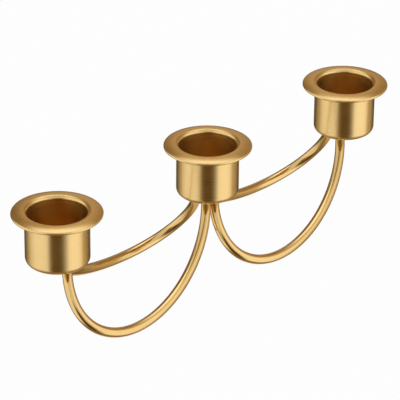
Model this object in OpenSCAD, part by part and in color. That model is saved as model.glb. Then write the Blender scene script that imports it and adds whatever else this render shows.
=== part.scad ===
// Candelabra: three cups in a straight row, joined by four arched rods.
// Each rod is brazed to the undersides of two neighbouring cups. The rods
// splay outwards, and the lowest points of the four arches are the feet.
// Sizes are in millimetres. X runs along the row, Y points to the back and
// Z is up. The floor is Z = 0 and the middle cup stands over the origin.

/* [Row] */
// Distance between the centres of two neighbouring cups
cup_spacing = 82; // [74:1:96]

/* [Cups] */
// Diameter of the taper candle that each cup takes
candle_d = 22; // [20:0.5:23]
// Play on each side between the candle and the cup wall
candle_play = 0.5; // [0.2:0.1:0.5]
// Height of a cup, from its underside to the crown of its flange
cup_height = 22.1; // [16:0.1:32]
// Thickness of the sheet in the wall and the bottom
sheet = 1; // [0.8:0.1:1.3]
// Outside radius of the corner between the wall and the bottom
corner_r = 2.7; // [1.8:0.1:2.9]
// Diameter of the flange round the mouth
flange_d = 35.2; // [32:0.2:42]
// Thickness of the flange and its rounded edge
flange_t = 1.2; // [0.8:0.1:1.4]
// Radius of the bend on the underside, from the wall out to the flange
bend_r = 0.5; // [0.4:0.1:1]

/* [Rods] */
// Diameter of the round rod
rod_d = 3.9; // [3:0.1:4]
// Distance between an end of a rod and the cup centre, along the row
end_inset = 2.9; // [2.9:0.1:3.4]
// Depth of an arch below the cups, to the centre of the rod
arch_drop = 27.7; // [24:0.1:40]
// Distance that the lowest point of an arch leans out of the row
arch_splay = 21.5; // [19:0.1:28]
// Distance that the lowest point of an arch leans along the row
arch_rake = 20.8; // [18:0.2:22]

/* [Rod placement] */
// Front left rod, shift along the row
front_left_x = 0.9; // [0.7:0.1:0.9]
// Front left rod, shift to the back
front_left_y = -1.1; // [-1.6:0.1:-1.1]
// Back left rod, shift along the row
back_left_x = -3.1; // [-3.4:0.1:-3.1]
// Back left rod, shift to the back
back_left_y = 0.6; // [0.6:0.1:1]
// Front right rod, shift along the row
front_right_x = 0.7; // [0.7:0.1:0.9]
// Front right rod, shift to the back
front_right_y = 0.1; // [-0.1:0.1:0.1]
// Back right rod, shift along the row
back_right_x = -0.6; // [-0.6:0.1:0]
// Back right rod, shift to the back
back_right_y = 4.6; // [4.6:0.1:5.2]

/* [Hidden] */
brass = "#c9a15c";
$fn = 96;

// The rounded edge of a flange is a hair thicker than its sheet, so that the
// two cross and join cleanly
edge_step = 0.005;

// Cup radii, and the mouth radius on the inside of the same bend
bore_r = candle_d / 2 + candle_play;
wall_r = bore_r + sheet;
flange_r = flange_d / 2;
lip_r = flange_t / 2;
edge_r = lip_r + edge_step;
mouth_r = bend_r + sheet;
inner_corner_r = corner_r - sheet;

// The flange is an arc of sheet that starts level at the crown. Its radius
// stays below the crown's own, so that the dome is a plain torus.
crown_r = wall_r + bend_r;
middle_r = 0.93 * crown_r;
edge_slope = asin((flange_r - edge_r - crown_r) / middle_r);

// Rod lengths, worked out from the row and the cups
rod_r = rod_d / 2;
half_span = cup_spacing / 2 - end_inset;
arch_depth = norm([arch_splay, arch_drop]);
arch_lean = atan2(arch_drop, arch_splay);
cup_z = arch_drop + rod_r;
arch_steps = 4;

// Each rod starts straight, until its whole section is below the cup
end_slope = acos(arch_drop / norm([arch_rake, arch_splay, arch_drop]));
end_margin = 0.4;
end_rise = rod_r * sin(end_slope) + end_margin;
end_part = end_rise / arch_drop;

// The row is set off in Y so that the feet lie evenly about the origin
front_most = min(front_left_y, front_right_y);
back_most = max(back_left_y, back_right_y);
row_y = -(front_most + back_most) / 2;

// Every second piece of a rod is a hair thinner and runs on into its
// neighbours, so that the pieces overlap and join into one solid
seam_step = 0.02;
seam_lap = 0.6;

// Boxes that only cut are larger than what they cut by this much
overcut = 5;

// Part of the full depth that an arch has reached, for an angle from 0 to 180
function reached(a) = end_part + (1 - end_part) * sin(a);

// Centre line of an arch in its own plane at that angle
function arch_at(a) = [-half_span * cos(a) - arch_rake * reached(a), -arch_depth * reached(a)];

// Unit direction of the centre line at that angle
function arch_dir(a) =
    let (turned = (1 - end_part) * cos(a))
    let (t = [half_span * sin(a) - arch_rake * turned, -arch_depth * turned])
    t / norm(t);

// Cup section at the right of the axis, with the underside at 0
module cup_section() {
    difference() {
        cup_outside();
        cup_hollow();
    }
}

module cup_outside() {
    square([wall_r - corner_r, cup_height]);
    translate([0, corner_r])
        square([wall_r, cup_height - corner_r]);
    translate([wall_r - corner_r, corner_r])
        circle(r = corner_r);
    difference() {
        translate([bore_r, cup_height - flange_t - bend_r])
            square([sheet + bend_r, flange_t + bend_r]);
        translate([crown_r, cup_height - flange_t - bend_r])
            circle(r = bend_r);
    }
    translate([crown_r, cup_height - lip_r - middle_r])
        flange_section();
}

// Domed flange about the centre of its arc, from the crown to its edge
module flange_section() {
    reach = 2 * middle_r;
    intersection() {
        difference() {
            circle(r = middle_r + lip_r);
            circle(r = middle_r - lip_r);
        }
        polygon([[0, 0], [0, reach], [reach * tan(edge_slope), reach]]);
    }
    rotate([0, 0, -edge_slope])
        translate([0, middle_r])
            circle(r = edge_r);
}

module cup_hollow() {
    translate([-overcut, sheet])
        square([bore_r - inner_corner_r + overcut, cup_height]);
    translate([-overcut, corner_r])
        square([bore_r + overcut, cup_height]);
    translate([bore_r - inner_corner_r, corner_r])
        circle(r = inner_corner_r);
    difference() {
        translate([0, cup_height - mouth_r])
            square([crown_r, mouth_r + overcut]);
        translate([crown_r, cup_height - mouth_r])
            circle(r = mouth_r);
    }
}

module cup(place) {
    translate([place * cup_spacing, row_y, cup_z])
        rotate_extrude()
            cup_section();
}

// One round bend of the rod, from point p in direction t to point q
module bend(p, t, q, inner) {
    chord = q - p;
    side = [-t.y, t.x];
    r = (chord * chord) / (2 * side * chord);
    centre = p + r * side;
    lap = inner ? seam_lap / r * 180 / PI : 0;
    start = atan2(p.y - centre.y, p.x - centre.x) - lap;
    turn = 2 * asin(norm(chord) / (2 * r)) + 2 * lap;
    translate([centre.x, centre.y, 0])
        rotate([0, 0, start])
            rotate_extrude(angle = turn)
                translate([r, 0])
                    circle(r = inner ? rod_r - seam_step : rod_r);
}

// Two bends that meet smoothly and follow the arch from angle a to angle b
module bend_pair(a, b) {
    p = arch_at(a);
    q = arch_at(b);
    tp = arch_dir(a);
    tq = arch_dir(b);
    v = q - p;
    t = tp + tq;
    k = 2 * (1 - tp * tq);
    reach = (sqrt((v * t) * (v * t) + k * (v * v)) - v * t) / k;
    p_far = p + reach * tp;
    q_far = q - reach * tq;
    joint = (p_far + q_far) / 2;
    joint_dir = (q_far - p_far) / norm(q_far - p_far);
    bend(p, tp, joint, true);
    bend(joint, joint_dir, q, false);
}

// Straight end of the rod, cut flush with the cup underside at Z = 0
module rod_end(a, inner) {
    t = arch_dir(a) * (a < 90 ? -1 : 1);
    lap = inner ? seam_lap : 0;
    p = arch_at(a) - lap * t;
    size = arch_depth + half_span;
    difference() {
        rotate([arch_lean, 0, 0])
            translate([p.x, p.y, 0])
                rotate([0, 0, atan2(t.y, t.x)])
                    rotate([0, 90, 0])
                        cylinder(r = inner ? rod_r - seam_step : rod_r,
                                 h = end_rise / cos(end_slope) + rod_d + lap);
        translate([-size, -size, 0])
            cube([2 * size, 2 * size, rod_d + overcut]);
    }
}

// A whole rod about the middle of its span, with the cup underside at Z = 0
module arch() {
    rod_end(0, false);
    rotate([arch_lean, 0, 0])
        for (i = [0 : arch_steps - 1])
            bend_pair(180 * i / arch_steps, 180 * (i + 1) / arch_steps);
    rod_end(180, true);
}

// side is -1 for the left span and 1 for the right span
module front_rod(side, dx, dy) {
    translate([side * cup_spacing / 2 + dx, row_y + dy, cup_z])
        arch();
}

module back_rod(side, dx, dy) {
    translate([side * cup_spacing / 2 + dx, row_y + dy, cup_z])
        rotate([0, 0, 180])
            arch();
}

module cup_left() {
    color(brass)
        cup(-1);
}

module cup_middle() {
    color(brass)
        cup(0);
}

module cup_right() {
    color(brass)
        cup(1);
}

module rod_front_left() {
    color(brass)
        front_rod(-1, front_left_x, front_left_y);
}

module rod_back_left() {
    color(brass)
        back_rod(-1, back_left_x, back_left_y);
}

module rod_front_right() {
    color(brass)
        front_rod(1, front_right_x, front_right_y);
}

module rod_back_right() {
    color(brass)
        back_rod(1, back_right_x, back_right_y);
}

cup_left();
cup_middle();
cup_right();
rod_front_left();
rod_back_left();
rod_front_right();
rod_back_right();
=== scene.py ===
"""Candelabra of satin brass: three flanged candle cups in a row on four arched rods.

Shapes are worked out in millimetres and placed in metres, in the frame of the
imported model: X runs along the row, Y points to the back and Z is up.
"""

import logging
import math
from collections.abc import Sequence
from dataclasses import dataclass
from enum import Enum
from itertools import accumulate
from typing import Any

import bpy
from mathutils import Matrix, Vector


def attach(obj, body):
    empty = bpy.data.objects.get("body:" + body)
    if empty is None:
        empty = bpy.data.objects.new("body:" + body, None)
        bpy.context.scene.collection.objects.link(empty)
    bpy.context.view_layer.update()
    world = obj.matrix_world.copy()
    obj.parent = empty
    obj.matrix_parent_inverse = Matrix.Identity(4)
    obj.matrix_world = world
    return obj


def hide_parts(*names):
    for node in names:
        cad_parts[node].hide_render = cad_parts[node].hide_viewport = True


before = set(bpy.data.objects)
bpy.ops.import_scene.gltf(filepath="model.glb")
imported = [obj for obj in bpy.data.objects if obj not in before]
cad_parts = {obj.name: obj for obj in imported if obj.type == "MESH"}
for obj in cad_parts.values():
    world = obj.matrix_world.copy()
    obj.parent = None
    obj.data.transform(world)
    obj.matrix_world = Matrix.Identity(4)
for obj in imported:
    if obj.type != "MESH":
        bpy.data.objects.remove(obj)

LOG = logging.getLogger("candelabra")

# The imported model's one body and one material slot
BODY = "root"

# One millimetre in metres
MM = 0.001

WHITE = "#ffffff"

# On this map of a piece, U counts millimetres along the grain and V across it
GRAIN_MAP = "grain"

# A Mix node has sockets of the same name for each kind of value. These are
# the places of its colour sockets.
MIX_A = 6
MIX_B = 7
MIX_RESULT = 2

Point2 = tuple[float, float]
Tree = bpy.types.NodeTree
Socket = bpy.types.NodeSocket


class Span(Enum):
    """The two gaps between neighbouring cups, as sides of the middle cup."""

    LEFT = -1
    RIGHT = 1


class Lean(Enum):
    """The two ways an arch can lean out of the row. Back is front, turned half round."""

    FRONT = 1
    BACK = -1


# Materials


def linear(colour: str) -> tuple[float, float, float, float]:
    """Turn an sRGB hex colour into linear values.

    Args:
        colour: Six hex digits after a hash.

    Returns:
        Red, green, blue and alpha, each from 0 to 1.
    """
    parts = [int(colour[i:i + 2], 16) / 255 for i in (1, 3, 5)]
    light = [p / 12.92 if p <= 0.04045 else ((p + 0.055) / 1.055) ** 2.4 for p in parts]
    return (light[0], light[1], light[2], 1.0)


def add_node(tree: Tree, kind: str, inputs: dict[str | int, Any],
             **settings: Any) -> bpy.types.Node:
    """Add one node, set it and link it.

    Args:
        tree: The node tree that the node goes into.
        kind: Blender's name for the node's type.
        inputs: For an input, by name or place, the output that feeds it or its own value.
        **settings: The node's other properties.

    Returns:
        The new node.
    """
    node = tree.nodes.new(kind)
    for name, value in settings.items():
        setattr(node, name, value)
    for place, value in inputs.items():
        if isinstance(value, Socket):
            tree.links.new(value, node.inputs[place])
        else:
            node.inputs[place].default_value = value
    return node


@dataclass(frozen=True)
class BrassFinish:
    """Brass whose surface has a grain, bare or under a clear lacquer.

    A noise drawn out into lines makes the grain. Together with a cloudy noise
    it shades the colour and the roughness, and alone it makes a fine relief.
    """

    name: str
    light: str
    deep: str
    roughness: float
    roughness_spread: float
    grain_pitch_mm: float
    grain_depth_mm: float
    grain_length_mm: float = 33.3
    cloud_mm: float = 9.0
    # Stretch of each reflection, and its direction: a quarter of a turn is across the grain
    anisotropy: float = 0.5
    stretch_turn: float = 0.25
    # A clear lacquer has an IOR of about 1.5, and 1.7 matches the gleam on the cups
    lacquer: float = 1.0
    lacquer_roughness: float = 0.15
    lacquer_ior: float = 1.7
    # Fineness of the two noises, and how harsh the first one is
    grain_detail: float = 3.0
    grain_harshness: float = 0.6
    cloud_detail: float = 2.0
    # Part of the shade that comes from the grain, and the values it mostly stays between
    grain_share: float = 0.5
    shade_range: Point2 = (0.3, 0.7)
    relief_strength: float = 0.5

    def material(self) -> bpy.types.Material:
        """Build the material from its noises, its relief and one metal shader.

        Returns:
            The finished material.
        """
        made = bpy.data.materials.new(self.name)
        made.use_nodes = True
        tree = made.node_tree
        tree.nodes.clear()
        grain = self.grain(tree)
        place = add_node(tree, "ShaderNodeTexCoord", {}).outputs["Object"]
        clouds = add_node(tree, "ShaderNodeTexNoise",
                          {"Vector": place, "Scale": 1 / (self.cloud_mm * MM),
                           "Detail": self.cloud_detail}).outputs[0]
        shade = add_node(tree, "ShaderNodeMix",
                         {"Factor": self.grain_share, "A": clouds, "B": grain}).outputs["Result"]
        tone = add_node(tree, "ShaderNodeMix",
                        {0: shade, MIX_A: linear(self.deep), MIX_B: linear(self.light)},
                        data_type="RGBA").outputs[MIX_RESULT]
        low, high = self.shade_range
        roughness = add_node(tree, "ShaderNodeMapRange",
                             {"Value": shade, "From Min": low, "From Max": high,
                              "To Min": self.roughness - self.roughness_spread,
                              "To Max": self.roughness + self.roughness_spread}).outputs[0]
        relief = add_node(tree, "ShaderNodeBump",
                          {"Height": grain, "Strength": self.relief_strength,
                           "Distance": self.grain_depth_mm * MM}).outputs[0]
        run = add_node(tree, "ShaderNodeTangent", {},
                       direction_type="UV_MAP", uv_map=GRAIN_MAP).outputs[0]
        metal = add_node(tree, "ShaderNodeBsdfPrincipled",
                         {"Base Color": tone, "Metallic": 1.0, "Roughness": roughness,
                          "Normal": relief, "Tangent": run,
                          "Anisotropic": self.anisotropy,
                          "Anisotropic Rotation": self.stretch_turn,
                          "Coat Weight": self.lacquer,
                          "Coat Roughness": self.lacquer_roughness,
                          "Coat IOR": self.lacquer_ior}).outputs[0]
        add_node(tree, "ShaderNodeOutputMaterial", {0: metal})
        return made

    def grain(self, tree: Tree) -> Socket:
        """Lines of noise along U of the grain map.

        Args:
            tree: The node tree.

        Returns:
            The height of the grain, from 0 to 1.
        """
        grain_map = add_node(tree, "ShaderNodeUVMap", {}, uv_map=GRAIN_MAP).outputs[0]
        split = add_node(tree, "ShaderNodeSeparateXYZ", {0: grain_map})
        along = add_node(tree, "ShaderNodeMath",
                         {0: split.outputs[0], 1: 1 / self.grain_length_mm},
                         operation="MULTIPLY").outputs[0]
        across = add_node(tree, "ShaderNodeMath",
                          {0: split.outputs[1], 1: 1 / self.grain_pitch_mm},
                          operation="MULTIPLY").outputs[0]
        lines = add_node(tree, "ShaderNodeCombineXYZ", {0: along, 1: across}).outputs[0]
        return add_node(tree, "ShaderNodeTexNoise",
                        {"Vector": lines, "Scale": 1.0, "Detail": self.grain_detail,
                         "Roughness": self.grain_harshness}).outputs[0]


@dataclass(frozen=True)
class PaperFinish:
    """Matt paper that the camera sees as white, apart from a share of its true shade."""

    name: str
    colour: str
    true_share: float

    def material(self) -> bpy.types.Material:
        """Build the material from matt paper and a white glow that only the camera sees.

        Returns:
            The finished material.
        """
        made = bpy.data.materials.new(self.name)
        made.use_nodes = True
        tree = made.node_tree
        tree.nodes.clear()
        rays = add_node(tree, "ShaderNodeLightPath", {}).outputs
        matt = add_node(tree, "ShaderNodeBsdfDiffuse", {"Color": linear(self.colour)}).outputs[0]
        glow = add_node(tree, "ShaderNodeEmission",
                        {"Color": linear(WHITE), "Strength": 1.0}).outputs[0]
        share = add_node(tree, "ShaderNodeMath",
                         {0: rays["Is Camera Ray"], 1: 1 - self.true_share},
                         operation="MULTIPLY").outputs[0]
        both = add_node(tree, "ShaderNodeMixShader", {0: share, 1: matt, 2: glow}).outputs[0]
        add_node(tree, "ShaderNodeOutputMaterial", {0: both})
        return made


# Brass sheet, brushed round the cup and lacquered clear. The brushing pulls
# the light into long soft bands up the wall and gives the flange an even
# satin shade, and the lacquer lays a thin pale gleam over both. Real brush
# lines are about 0.1 mm apart. They are coarser here, so that they show.
CUP_BRASS = BrassFinish("brushed_brass_cup", light="#e2c179", deep="#cca65a",
                        roughness=0.3, roughness_spread=0.05,
                        grain_pitch_mm=0.35, grain_depth_mm=0.003)

# The same sheet as drawing leaves it, dull and bare, but in a deeper and browner colour than the
# outside: painted shade for the inside of the cup. What light gets into the bore is mirrored from
# wall to wall and takes on more colour each time, on top of that painted shade. The faint rings
# that the die leaves are too fine to show, so they are coarser and deeper here.
BORE_SHADED_BRASS = BrassFinish("drawn_brass_bore_painted_shade", light="#ecbd62", deep="#b08437",
                         roughness=0.38, roughness_spread=0.08,
                         grain_pitch_mm=1.2, grain_depth_mm=0.12, lacquer=0.0)

# Brass rod, pulled smooth through a die and lacquered clear. It mirrors more
# sharply than the cups, so light and dark lines run along it, in a slightly
# deeper gold. The real marks of the die are about 0.1 mm apart. They are
# coarser here, so that they show.
ROD_BRASS = BrassFinish("drawn_brass_rod", light="#dbb970", deep="#c59e53",
                        roughness=0.16, roughness_spread=0.02,
                        grain_pitch_mm=0.5, grain_depth_mm=0.0005, anisotropy=0.0)

# Matt white paper. It is as white as the background, and keeps a trace of the
# shadow that the candelabra casts on it.
FLOOR_PAPER = PaperFinish("white_paper", colour="#e8e8e8", true_share=0.03)


# Meshes


def add_object(name: str, data: bpy.types.ID) -> bpy.types.Object:
    """Put a mesh, a lamp or a camera into the scene.

    Args:
        name: The object's name.
        data: What it shows.

    Returns:
        The new object.
    """
    made = bpy.data.objects.new(name, data)
    bpy.context.scene.collection.objects.link(made)
    return made


def add_piece(name: str, points: list[Vector], faces: list[tuple[int, ...]],
              grain: list[list[Point2]], material: bpy.types.Material) -> bpy.types.Object:
    """Make one smooth mesh piece.

    Args:
        name: The piece's name.
        points: Corner points in metres.
        faces: Corner numbers of each face.
        grain: For each face, the place of each corner on the grain map.
        material: The finish.

    Returns:
        The piece, linked to the scene.
    """
    mesh = bpy.data.meshes.new(name)
    mesh.from_pydata([tuple(p) for p in points], [], faces)
    layer = mesh.uv_layers.new(name=GRAIN_MAP)
    layer.data.foreach_set("uv", [value for face in grain for corner in face for value in corner])
    mesh.shade_smooth()
    mesh.materials.append(material)
    mesh.validate()
    return add_object(name, mesh)


def running_length(line: Sequence[Point2 | Vector]) -> list[float]:
    """Distance along a line of points, from its first point to each of them.

    Args:
        line: The points in order.

    Returns:
        One length for each point, from 0.
    """
    return list(accumulate((math.dist(a, b) for a, b in zip(line, line[1:])), initial=0.0))


def straight(start: Point2, end: Point2, pitch: float = 2.0, guard: float = 0.2) -> list[Point2]:
    """Points of a straight stretch, with a point close to each end.

    The close ones keep the smooth shading of a bend out of the flat next to it.
    Lengths are in millimetres.

    Args:
        start: First point.
        end: Last point, which is left out.
        pitch: Distance between two points, roughly.
        guard: Distance of the close points from the ends.

    Returns:
        The points in order.
    """
    a, b = Vector(start), Vector(end)
    run = (b - a).length
    steps = max(1, round(run / pitch))
    marks = [0.0, guard] + [run * i / steps for i in range(1, steps)] + [run - guard]
    return [tuple(a.lerp(b, m / run)) for m in marks]


def arc(centre: Point2, radius: float, first: float, last: float, steps: int) -> list[Point2]:
    """Points of a circular stretch, whose lengths are in millimetres.

    Args:
        centre: Centre of the circle.
        radius: Its radius.
        first: Angle of the first point, in degrees.
        last: Angle of the last point, which is left out.
        steps: Number of points.

    Returns:
        The points in order.
    """
    angles = [math.radians(first + (last - first) * i / steps) for i in range(steps)]
    return [(centre[0] + radius * math.cos(a), centre[1] + radius * math.sin(a))
            for a in angles]


# Candelabra


@dataclass(frozen=True)
class Row:
    """The row of cups, in millimetres: their spacing, their place in Y and their undersides."""

    spacing: float
    y: float
    underside: float


@dataclass
class CandleCup:
    """One cup drawn from sheet, with a domed flange round its mouth.

    It is turned from a section that runs from the middle of its floor up the
    bore, over the flange, and down and in to the middle of its underside. Sizes
    are in millimetres.
    """

    node: str
    x: float
    row: Row
    # Taper candle that the cup takes, and its play on each side
    candle_d: float = 22.0
    candle_play: float = 0.5
    height: float = 22.1
    sheet: float = 1.0
    # Outside radius of the corner between the wall and the bottom
    corner_r: float = 2.7
    flange_d: float = 35.2
    flange_t: float = 1.2
    # Bend on the underside, from the wall out to the flange
    bend_r: float = 0.5
    # Radius of the flange's dome, as a share of the radius of its crown
    dome_share: float = 0.93
    # Steps round the cup, and on each rounded stretch of its section
    turns: int = 160
    floor_corner_steps: int = 10
    mouth_steps: int = 16
    dome_steps: int = 12
    edge_steps: int = 16
    under_dome_steps: int = 8
    bend_steps: int = 10
    corner_steps: int = 14

    @property
    def bore_r(self) -> float:
        """Inside radius of the wall."""
        return self.candle_d / 2 + self.candle_play

    @property
    def wall_r(self) -> float:
        """Outside radius of the wall."""
        return self.bore_r + self.sheet

    @property
    def mouth_r(self) -> float:
        """Radius of the bend from the bore out to the flange."""
        return self.bend_r + self.sheet

    def inside(self) -> list[Point2]:
        """Section of the floor and the bore, up to the bend at the mouth.

        Returns:
            Radius and height of each point, in millimetres.
        """
        inner_r = self.corner_r - self.sheet
        floor_r = self.bore_r - inner_r
        line = straight((0.0, self.sheet), (floor_r, self.sheet))
        line += arc((floor_r, self.corner_r), inner_r, -90, 0, self.floor_corner_steps)
        line += straight((self.bore_r, self.corner_r), (self.bore_r, self.height - self.mouth_r))
        return line

    def outside(self) -> list[Point2]:
        """Section of the flange, the outside of the wall and the underside.

        Returns:
            Radius and height of each point, in millimetres.
        """
        lip_r = self.flange_t / 2
        edge_r = self.flange_d / 2 - lip_r
        crown_r = self.wall_r + self.bend_r
        neck = self.height - self.flange_t - self.bend_r
        dome_r = self.dome_share * crown_r
        turned = math.asin((edge_r - crown_r) / dome_r)
        slope = math.degrees(turned)
        mouth = (crown_r, self.height - self.mouth_r)
        dome = (crown_r, self.height - lip_r - dome_r)
        edge = (edge_r, dome[1] + dome_r * math.cos(turned))
        foot_r = self.wall_r - self.corner_r
        line = arc(mouth, self.mouth_r, 180, 90, self.mouth_steps)
        line += arc(dome, dome_r + lip_r, 90, 90 - slope, self.dome_steps)
        line += arc(edge, lip_r, 90 - slope, -90 - slope, self.edge_steps)
        line += arc(dome, dome_r - lip_r, 90 - slope, 90, self.under_dome_steps)
        line += arc((crown_r, neck), self.bend_r, 90, 180, self.bend_steps)
        line += straight((self.wall_r, neck), (self.wall_r, self.corner_r))
        line += arc((foot_r, self.corner_r), self.corner_r, 0, -90, self.corner_steps)
        line += straight((foot_r, 0.0), (0.0, 0.0))
        return line + [(0.0, 0.0)]

    def build(self, skin: bpy.types.Material, bore: bpy.types.Material) -> bpy.types.Object:
        """Turn the section about the cup's axis.

        Args:
            skin: The finish of the flange, the outside of the wall and the underside.
            bore: The finish of the floor and the bore, up to the bend at the mouth, whose deeper
                colour is painted shade.

        Returns:
            The cup.
        """
        inside = self.inside()
        line = inside + self.outside()
        run = running_length(line)
        strips = len(line) - 1
        points = [self.spot(0.0, 0.0, line[0][1])]
        for r, z in line[1:-1]:
            points += [self.spot(r, 2 * math.pi * j / self.turns, z) for j in range(self.turns)]
        points.append(self.spot(0.0, 0.0, line[-1][1]))
        # Each slice of the turn has one face for each strip of the section
        faces: list[tuple[int, ...]] = []
        grain: list[list[Point2]] = []
        step = 2 * math.pi * self.bore_r / self.turns
        for j in range(self.turns):
            here, there = 1 + j, 1 + (j + 1) % self.turns
            u, w = step * j, step * (j + 1)
            faces.append((0, here, there))
            grain.append([(u, run[0]), (u, run[1]), (w, run[1])])
            for i in range(1, strips - 1):
                a, b = (i - 1) * self.turns, i * self.turns
                faces.append((a + here, b + here, b + there, a + there))
                grain.append([(u, run[i]), (u, run[i + 1]), (w, run[i + 1]), (w, run[i])])
            a = (strips - 2) * self.turns
            faces.append((a + here, len(points) - 1, a + there))
            grain.append([(u, run[-2]), (u, run[-1]), (w, run[-2])])
        cup = add_piece(self.node + "_shell", points, faces, grain, skin)
        cup.data.materials.append(bore)
        # The floor and the bore take the second finish, whose deeper colour paints shade into the
        # cup
        in_bore = [int(i < len(inside)) for i in range(strips)]
        cup.data.polygons.foreach_set("material_index", in_bore * self.turns)
        return cup

    def spot(self, r: float, turn: float, z: float) -> Vector:
        """A point of the cup in the frame, in metres."""
        flat = (self.x + r * math.cos(turn), self.row.y + r * math.sin(turn))
        return Vector((*flat, self.row.underside + z)) * MM


@dataclass(frozen=True)
class RodPlace:
    """Where one rod goes, and how far it is set off from the middle of its span, in mm."""

    node: str
    span: Span
    lean: Lean
    along: float
    back: float


@dataclass
class ArchedRod:
    """One round rod, bent into an arch and brazed under two cups.

    Its centre line is half an ellipse, sheared along the row and out of it,
    between two straight ends that are cut flush with the cups' undersides.
    Sizes are in millimetres.
    """

    place: RodPlace
    row: Row
    radius: float
    # Depth of the arch below the cups, to the centre of the rod
    drop: float
    # Distance of an end from the axis of its cup, along the row
    end_inset: float = 2.9
    # How far the lowest point leans out of the row, and along it
    splay: float = 21.5
    rake: float = 20.8
    # Gap between the underside and the first whole circle of the arch
    end_margin: float = 0.4
    # Width of the flare of braze round each end
    braze: float = 0.5
    # Steps along the arch, round the rod and along each straight end. Above 1,
    # the crowding sets an end's steps closer together near the cup.
    steps: int = 180
    sides: int = 40
    end_steps: int = 8
    end_crowding: float = 1.5

    @property
    def lowest(self) -> Vector:
        """Way from the middle of the span to the lowest point of the centre line."""
        return Vector((-self.rake, -self.splay, -self.drop))

    @property
    def end_rise(self) -> float:
        """Height of the straight ends, down to the first whole circle of the arch."""
        slant = math.hypot(self.rake, self.splay) / self.lowest.length
        return self.radius * slant + self.end_margin

    def centre_line(self) -> list[Vector]:
        """Centre line of the arch about the middle of the span, with the underside at 0.

        Returns:
            Points in millimetres, from the left cup to the right one.
        """
        half_span = self.row.spacing / 2 - self.end_inset
        share = self.end_rise / self.drop
        line = []
        for i in range(self.steps + 1):
            a = math.pi * i / self.steps
            reached = share + (1 - share) * math.sin(a)
            line.append(Vector((-half_span * math.cos(a), 0, 0)) + self.lowest * reached)
        return line

    def rings(self) -> list[list[Vector]]:
        """The rod's circle at each step, from one flush end to the other.

        Returns:
            For each step, the points round the rod in millimetres.
        """
        line = self.centre_line()
        slope = self.lowest.normalized()
        out = Vector((0, self.drop, -self.splay)).normalized()
        ways = [slope, *((b - a).normalized() for a, b in zip(line, line[2:])), -slope]
        arch = [self.ring(at, way, out) for at, way in zip(line, ways)]
        shares = [i / self.end_steps for i in range(self.end_steps)]
        first = [self.end_ring(arch[0], slope, share) for share in shares]
        last = [self.end_ring(arch[-1], slope, share) for share in reversed(shares)]
        return first + arch + last

    def ring(self, at: Vector, way: Vector, out: Vector) -> list[Vector]:
        """One circle of the rod's surface across its centre line.

        Args:
            at: The circle's centre.
            way: Unit direction of the centre line there.
            out: Unit direction at a right angle to the plane of the arch.

        Returns:
            The circle's points.
        """
        side = way.cross(out)
        turns = [2 * math.pi * j / self.sides for j in range(self.sides)]
        return [at + (out * math.cos(t) + side * math.sin(t)) * self.radius for t in turns]

    def end_ring(self, ring: list[Vector], slope: Vector, share: float) -> list[Vector]:
        """A ring between the cut end and the arch, flared by the braze.

        Args:
            ring: The arch's end ring.
            slope: Unit direction of the rod, away from the cup.
            share: 0 at the cut end, and towards 1 at the arch.

        Returns:
            The ring's points.
        """
        middle = sum(ring, Vector()) / len(ring)
        made = []
        for p in ring:
            to_cup = p.z / slope.z
            q = p - slope * (to_cup * (1 - share ** self.end_crowding))
            closeness = max(0.0, 1 + q.z / self.braze)
            flare = self.braze * (1 - math.sqrt(max(0.0, 1 - closeness * closeness)))
            made.append(q + (p - middle).normalized() * flare)
        return made

    def build(self, metal: bpy.types.Material) -> bpy.types.Object:
        """Join the rod's circles into one closed bar.

        Args:
            metal: The finish.

        Returns:
            The rod.
        """
        rings = self.rings()
        run = running_length([sum(ring, Vector()) / self.sides for ring in rings])
        points = [self.spot(p) for ring in rings for p in ring]
        step = 2 * math.pi * self.radius / self.sides
        sides = range(self.sides)
        faces: list[tuple[int, ...]] = [tuple(reversed(sides))]
        grain: list[list[Point2]] = [[(run[0], step * j) for j in reversed(sides)]]
        for i in range(len(rings) - 1):
            a, b = i * self.sides, (i + 1) * self.sides
            for j in sides:
                k = (j + 1) % self.sides
                v, w = step * j, step * (j + 1)
                faces.append((a + j, a + k, b + k, b + j))
                grain.append([(run[i], v), (run[i], w), (run[i + 1], w), (run[i + 1], v)])
        tail = (len(rings) - 1) * self.sides
        faces.append(tuple(tail + j for j in sides))
        grain.append([(run[-1], step * j) for j in sides])
        return add_piece(self.place.node + "_bar", points, faces, grain, metal)

    def spot(self, p: Vector) -> Vector:
        """Turn a point of the rod to its lean and put it in its place.

        Args:
            p: The point about the middle of the span, in millimetres.

        Returns:
            The point in the frame, in metres.
        """
        way = self.place.lean.value
        x = self.place.span.value * self.row.spacing / 2 + self.place.along + way * p.x
        y = self.row.y + self.place.back + way * p.y
        return Vector((x, y, self.row.underside + p.z)) * MM


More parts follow.
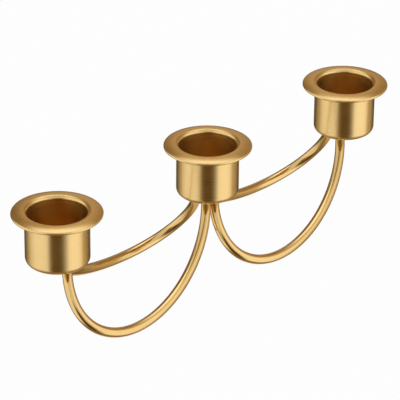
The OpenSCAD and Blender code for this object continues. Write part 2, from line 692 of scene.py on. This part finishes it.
@dataclass
class Candelabra:
    """The whole part: a row of cups on arched rods, all brazed into one.

    It keeps the sizes that cups and rods share, in millimetres.
    """

    cup_spacing: float = 82.0
    rod_d: float = 3.9
    arch_drop: float = 27.7
    cup_nodes: tuple[str, ...] = ("cup_left", "cup_middle", "cup_right")
    rod_places: tuple[RodPlace, ...] = (
        RodPlace("rod_front_left", Span.LEFT, Lean.FRONT, 0.9, -1.1),
        RodPlace("rod_back_left", Span.LEFT, Lean.BACK, -3.1, 0.6),
        RodPlace("rod_front_right", Span.RIGHT, Lean.FRONT, 0.7, 0.1),
        RodPlace("rod_back_right", Span.RIGHT, Lean.BACK, -0.6, 4.6))
    cup_finish: BrassFinish = CUP_BRASS
    # Finish of the inside of each cup, deeper in colour for painted shade
    bore_shaded_finish: BrassFinish = BORE_SHADED_BRASS
    rod_finish: BrassFinish = ROD_BRASS

    @property
    def row(self) -> Row:
        """The row, on rods that touch the floor, with the feet evenly about the origin."""
        backs = [place.back for place in self.rod_places]
        return Row(self.cup_spacing, -(min(backs) + max(backs)) / 2,
                   self.arch_drop + self.rod_d / 2)

    def cups(self) -> list[CandleCup]:
        """The cups, evenly spaced about the origin.

        Returns:
            The cups from left to right.
        """
        middle = (len(self.cup_nodes) - 1) / 2
        return [CandleCup(node, (i - middle) * self.cup_spacing, self.row)
                for i, node in enumerate(self.cup_nodes)]

    def build(self) -> list[bpy.types.Object]:
        """Build every cup and rod and put each in the place of its node.

        Returns:
            All pieces.
        """
        cup_metal = self.cup_finish.material()
        bore_shaded_metal = self.bore_shaded_finish.material()
        rod_metal = self.rod_finish.material()
        pieces = []
        for cup in self.cups():
            pieces.append(self.settle(cup.build(cup_metal, bore_shaded_metal), cup.node))
        for place in self.rod_places:
            rod = ArchedRod(place, self.row, self.rod_d / 2, self.arch_drop)
            pieces.append(self.settle(rod.build(rod_metal), place.node))
        return pieces

    def settle(self, piece: bpy.types.Object, node: str) -> bpy.types.Object:
        """Let a piece ride on the body and stand for its node.

        Args:
            piece: The finished piece.
            node: The node that it replaces.

        Returns:
            The same piece.
        """
        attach(piece, BODY)
        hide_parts(node)
        LOG.info("%s stands for %s", piece.name, node)
        return piece


# Studio


def direction(azimuth: float, elevation: float) -> Vector:
    """Unit vector that points away from the origin.

    Args:
        azimuth: Degrees from the front, to the right.
        elevation: Degrees above the floor.

    Returns:
        The vector.
    """
    a, e = math.radians(azimuth), math.radians(elevation)
    return Vector((math.sin(a) * math.cos(e), -math.cos(a) * math.cos(e), math.sin(e)))


@dataclass(frozen=True)
class Card:
    """A coloured card that the metal mirrors, painted on the surroundings.

    The azimuth is in degrees to the right of the camera. Each edge holds the
    value where the card begins and the one where it is complete. On the side
    edge the values are cosines of the angle from its azimuth, and on the
    level edge sines of the elevation.
    """

    azimuth: float
    side_edge: Point2
    level_edge: Point2
    colour: str

    def cover(self, tree: Tree, flat_way: Socket, height: Socket,
              camera_azimuth: float) -> Socket:
        """How far the card covers the direction that a ray takes.

        Args:
            tree: The node tree.
            flat_way: The ray's direction seen from above, as a unit vector.
            height: The sine of its elevation.
            camera_azimuth: The camera's azimuth in degrees.

        Returns:
            From 0, clear of the card, to 1, on it.
        """
        middle = direction(camera_azimuth + self.azimuth, 0)
        nearness = add_node(tree, "ShaderNodeVectorMath", {0: flat_way, 1: middle},
                            operation="DOT_PRODUCT").outputs["Value"]
        shares = []
        for value, (begin, full) in ((nearness, self.side_edge), (height, self.level_edge)):
            shares.append(add_node(tree, "ShaderNodeMapRange",
                                   {"Value": value, "From Min": begin, "From Max": full},
                                   interpolation_type="SMOOTHSTEP").outputs[0])
        return add_node(tree, "ShaderNodeMath", {0: shares[0], 1: shares[1]},
                        operation="MULTIPLY").outputs[0]


@dataclass(frozen=True)
class Softbox:
    """A flat lamp that faces the row.

    The azimuth is in degrees to the right of the camera. The size is width
    and height, and like the distance it is in metres. A glow of 1 makes the
    lamp's face white.
    """

    name: str
    azimuth: float
    elevation: float
    size: Point2
    glow: float
    away: float = 1.2

    def hang(self, camera_azimuth: float) -> None:
        """Hang the lamp in its place.

        Args:
            camera_azimuth: The camera's azimuth in degrees.
        """
        width, height = self.size
        data = bpy.data.lights.new(self.name, "AREA")
        data.shape = "RECTANGLE"
        data.size = width
        data.size_y = height
        data.energy = self.glow * math.pi * width * height
        way = direction(camera_azimuth + self.azimuth, self.elevation)
        lamp = add_object(self.name, data)
        lamp.location = way * self.away
        lamp.rotation_euler = way.to_track_quat("Z", "Y").to_euler()


# A side edge that no cosine falls short of, for a card that goes all round
ALL_ROUND = (-3.0, -2.0)

# Each card lies over the ones before it
CARDS = (
    # Tan, overhead: tones down what lies level
    Card(0, ALL_ROUND, (0.94, 0.99), "#b39a6e"),
    # Pale tan, tall, behind: the tone of the flanges
    Card(170, (0.15, 0.62), (0.9, 0.58), "#cfb188"),
    # Brown, tall, behind on both sides: the flanges grow darker to the left and right
    Card(-150, (0.87, 0.99), (0.9, 0.7), "#8c7455"),
    Card(150, (0.87, 0.99), (0.9, 0.7), "#a68a66"),
    # Bright, low behind on the right: lifts the left ends of the shallow rods
    Card(125, (0.8, 0.95), (0.28, 0.14), "#f2d8a8"),
    # Sand, low round the back and sides: lets the walls fall off to both sides
    Card(180, (-0.3, 0.5), (0.0, -0.3), "#c2b28e"),
    # Dark, low straight behind: a thin dark line along every outline
    Card(180, (0.4, 0.85), (0.25, -0.15), "#64523a"),
    # Darkest, low by the camera: the stripe down the front of each cup
    Card(3, (0.77, 1.0), (0.15, -0.15), "#463520"),
    # Brown, narrower and taller: the line under each flange and along the rods' legs
    Card(-3, (0.9, 0.99), (0.55, 0.3), "#665033"),
    # Tan, straight below: the table that the undersides mirror
    Card(0, ALL_ROUND, (-0.6, -0.92), "#998462"),
    # Bright, far down behind: the gleam along the shallow rods
    Card(180, (0.8, 0.95), (-0.5, -0.68), "#e0bb84"))

# A broad weak light from the left, a stronger one from the right, and a small
# one high behind, which brightens the near side of each domed flange
LAMPS = (
    Softbox("softbox_left", azimuth=-68, elevation=0, size=(2.0, 2.4), glow=0.26),
    Softbox("softbox_right", azimuth=68, elevation=0, size=(1.4, 2.4), glow=0.42),
    Softbox("softbox_top", azimuth=180, elevation=66, size=(0.8, 0.6), glow=0.85))


@dataclass
class Studio:
    """Camera, lamps, floor and surroundings of the picture.

    The camera's place is in degrees and millimetres about a point of the
    candelabra, as it was worked out from the cups in the photograph.
    """

    row: Row
    azimuth: float = -46.215
    elevation: float = 27.17
    roll: float = 0.565
    distance: float = 1103.5
    # How far the camera moves to its left and down, to frame the picture
    move_left: float = 3.11
    move_down: float = 22.26
    lens_mm: float = 251.05
    film_mm: float = 36.0
    # Height of that point above the undersides, on the middle cup's axis
    aim_height: float = 21.6
    # Width of the floor in metres
    floor_width: float = 6.0
    # Strength of the surroundings as light, next to the white that is seen
    dim: float = 0.5
    cards: tuple[Card, ...] = CARDS
    lamps: tuple[Softbox, ...] = LAMPS
    paper: PaperFinish = FLOOR_PAPER

    def axes(self) -> tuple[Vector, Vector, Vector]:
        """The camera's right, up and back directions.

        Returns:
            Three unit vectors.
        """
        a, r = math.radians(self.azimuth), math.radians(self.roll)
        back = direction(self.azimuth, self.elevation)
        right = Vector((math.cos(a), math.sin(a), 0))
        up = back.cross(right)
        return (right * math.cos(r) + up * math.sin(r),
                up * math.cos(r) - right * math.sin(r), back)

    def camera(self) -> None:
        """Put the camera where the photograph was taken from."""
        right, up, back = self.axes()
        aim = Vector((0, self.row.y, self.row.underside + self.aim_height))
        spot = aim + back * self.distance - right * self.move_left - up * self.move_down
        data = bpy.data.cameras.new("camera")
        data.lens = self.lens_mm
        data.sensor_width = self.film_mm
        eye = add_object("camera", data)
        turn = Matrix((right, up, back)).transposed().to_4x4()
        eye.matrix_world = Matrix.Translation(spot * MM) @ turn
        bpy.context.scene.camera = eye

    def world(self) -> None:
        """Put up a white studio, whose cards only the metal sees.

        Camera and transmission rays meet plain white and glossy rays the cards
        on it, all at a strength of 1. Other rays meet a dimmer white, so that a
        shadow shows.
        """
        world = bpy.data.worlds.new("studio")
        world.use_nodes = True
        tree = world.node_tree
        tree.nodes.clear()
        rays = add_node(tree, "ShaderNodeLightPath", {}).outputs
        way = add_node(tree, "ShaderNodeTexCoord", {}).outputs["Generated"]
        height = add_node(tree, "ShaderNodeSeparateXYZ", {0: way}).outputs["Z"]
        flat = add_node(tree, "ShaderNodeVectorMath", {0: way, 1: (1.0, 1.0, 0.0)},
                        operation="MULTIPLY").outputs[0]
        flat_way = add_node(tree, "ShaderNodeVectorMath", {0: flat},
                            operation="NORMALIZE").outputs[0]
        painted: Socket | tuple[float, ...] = linear(WHITE)
        for card in self.cards:
            cover = card.cover(tree, flat_way, height, self.azimuth)
            painted = add_node(tree, "ShaderNodeMix",
                               {0: cover, MIX_A: painted, MIX_B: linear(card.colour)},
                               data_type="RGBA").outputs[MIX_RESULT]
        seen = add_node(tree, "ShaderNodeMix",
                        {0: rays["Is Glossy Ray"], MIX_A: linear(WHITE), MIX_B: painted},
                        data_type="RGBA").outputs[MIX_RESULT]
        direct = rays["Is Camera Ray"]
        for kind in ("Is Glossy Ray", "Is Transmission Ray"):
            direct = add_node(tree, "ShaderNodeMath", {0: direct, 1: rays[kind]},
                              operation="MAXIMUM").outputs[0]
        strength = add_node(tree, "ShaderNodeMapRange",
                            {"Value": direct, "To Min": self.dim, "To Max": 1.0}).outputs[0]
        sky = add_node(tree, "ShaderNodeBackground", {"Color": seen, "Strength": strength})
        add_node(tree, "ShaderNodeOutputWorld", {0: sky.outputs[0]})
        bpy.context.scene.world = world

    def floor(self) -> None:
        """Lay the paper floor, in whose place the metal mirrors the low cards."""
        half = self.floor_width / 2
        corners = [(-half, -half, 0), (half, -half, 0), (half, half, 0), (-half, half, 0)]
        mesh = bpy.data.meshes.new("floor")
        mesh.from_pydata(corners, [], [(0, 1, 2, 3)])
        mesh.materials.append(self.paper.material())
        floor = add_object("floor", mesh)
        floor.visible_glossy = False

    def build(self) -> None:
        """Set up the whole studio."""
        self.camera()
        self.world()
        self.floor()
        for lamp in self.lamps:
            lamp.hang(self.azimuth)
        bpy.context.scene.view_settings.view_transform = "Standard"


def main() -> None:
    """Build the studio and the candelabra, and report each piece."""
    logging.basicConfig(level=logging.INFO, format="%(message)s")
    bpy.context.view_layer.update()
    candelabra = Candelabra()
    Studio(candelabra.row).build()
    pieces = candelabra.build()
    LOG.info("%d pieces for %d nodes", len(pieces), len(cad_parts))
    bpy.context.view_layer.update()


if __name__ == "__main__":
    main()
